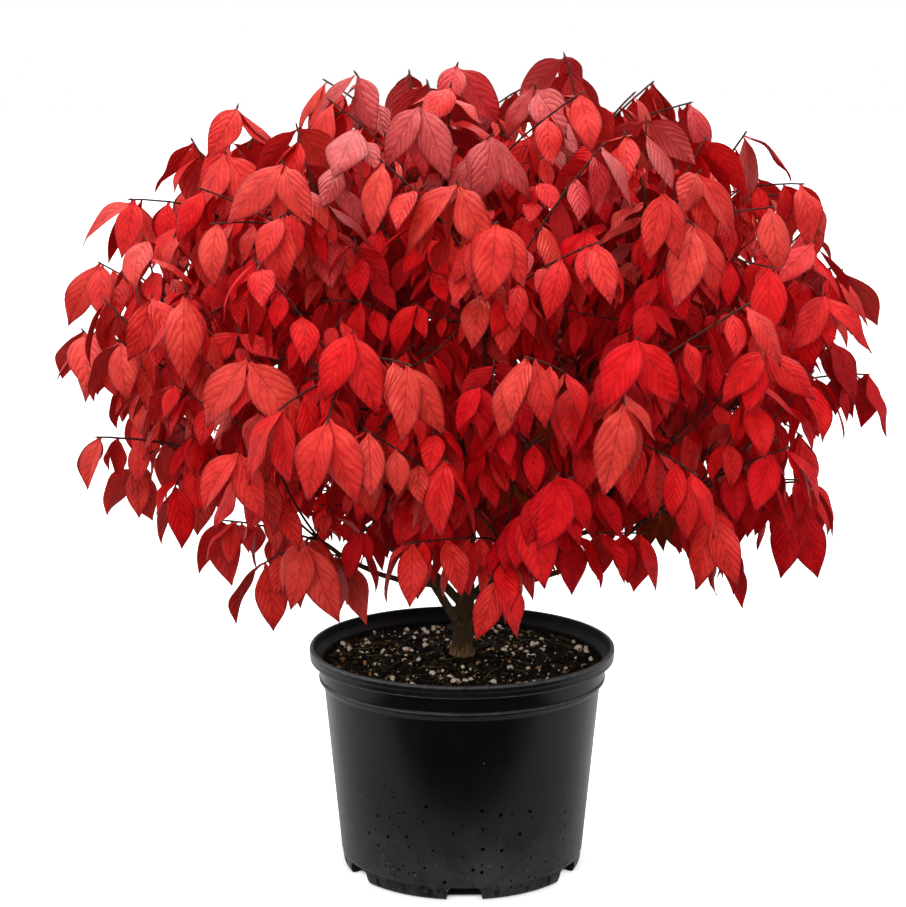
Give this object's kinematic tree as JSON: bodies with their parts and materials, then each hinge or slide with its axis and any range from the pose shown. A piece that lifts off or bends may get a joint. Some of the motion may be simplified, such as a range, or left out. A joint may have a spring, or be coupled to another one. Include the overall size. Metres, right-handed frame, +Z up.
{
  "type": "potted dwarf burning bush",
  "caption": "Dwarf burning bush in red autumn leaf, a broad dome of drooping sprays on a short trunk, in a black nursery pot.",
  "frame": {"origin": "the middle of the pot's flat underside", "axes": "+Z up along the pot's axis, -Y to the front that the picture shows, +X to its right"},
  "size_m": [0.7614, 0.7511, 0.7402],
  "materials": {
    "pot_plastic": "satin",
    "soil": "matte",
    "trunk_bark": "matte",
    "stem_bark": "matte",
    "leaves_scarlet": "satin",
    "leaves_crimson": "satin"
  },
  "bodies": {
    "root": {"pot": "pot_plastic", "soil": "soil", "trunk": "trunk_bark", "stem_1": "stem_bark", "stem_2": "stem_bark", "stem_3": "stem_bark", "stem_4": "stem_bark", "stem_5": "stem_bark", "stem_6": "stem_bark", "stem_7": "stem_bark", "stem_8": "stem_bark", "bough_skirt_1": "stem_bark", "bough_skirt_2": "stem_bark", "bough_skirt_3": "stem_bark", "bough_skirt_4": "stem_bark", "bough_skirt_5": "stem_bark", "bough_skirt_6": "stem_bark", "bough_skirt_7": "stem_bark", "bough_skirt_8": "stem_bark", "bough_mid_1": "stem_bark", "bough_mid_2": "stem_bark", "bough_mid_3": "stem_bark", "bough_mid_4": "stem_bark", "bough_mid_5": "stem_bark", "bough_mid_6": "stem_bark", "bough_mid_7": "stem_bark", "bough_mid_8": "stem_bark", "leader": "stem_bark", "bough_top_1": "stem_bark", "bough_top_2": "stem_bark", "foliage_skirt_1": "leaves_crimson", "foliage_skirt_2": "leaves_crimson", "foliage_skirt_3": "leaves_crimson", "foliage_skirt_4": "leaves_crimson", "foliage_skirt_5": "leaves_crimson", "foliage_skirt_6": "leaves_crimson", "foliage_skirt_7": "leaves_crimson", "foliage_skirt_8": "leaves_crimson", "foliage_mid_1": "leaves_scarlet", "foliage_mid_2": "leaves_scarlet", "foliage_mid_3": "leaves_scarlet", "foliage_mid_4": "leaves_scarlet", "foliage_mid_5": "leaves_scarlet", "foliage_mid_6": "leaves_scarlet", "foliage_mid_7": "leaves_scarlet", "foliage_mid_8": "leaves_scarlet", "foliage_high_1": "leaves_scarlet", "foliage_high_2": "leaves_scarlet", "foliage_high_3": "leaves_scarlet", "foliage_high_4": "leaves_scarlet", "foliage_high_5": "leaves_scarlet", "foliage_high_6": "leaves_scarlet", "foliage_high_7": "leaves_scarlet", "foliage_high_8": "leaves_scarlet", "foliage_top_1": "leaves_scarlet", "foliage_top_2": "leaves_scarlet", "foliage_top_3": "leaves_scarlet"}
  },
  "joints": []
}
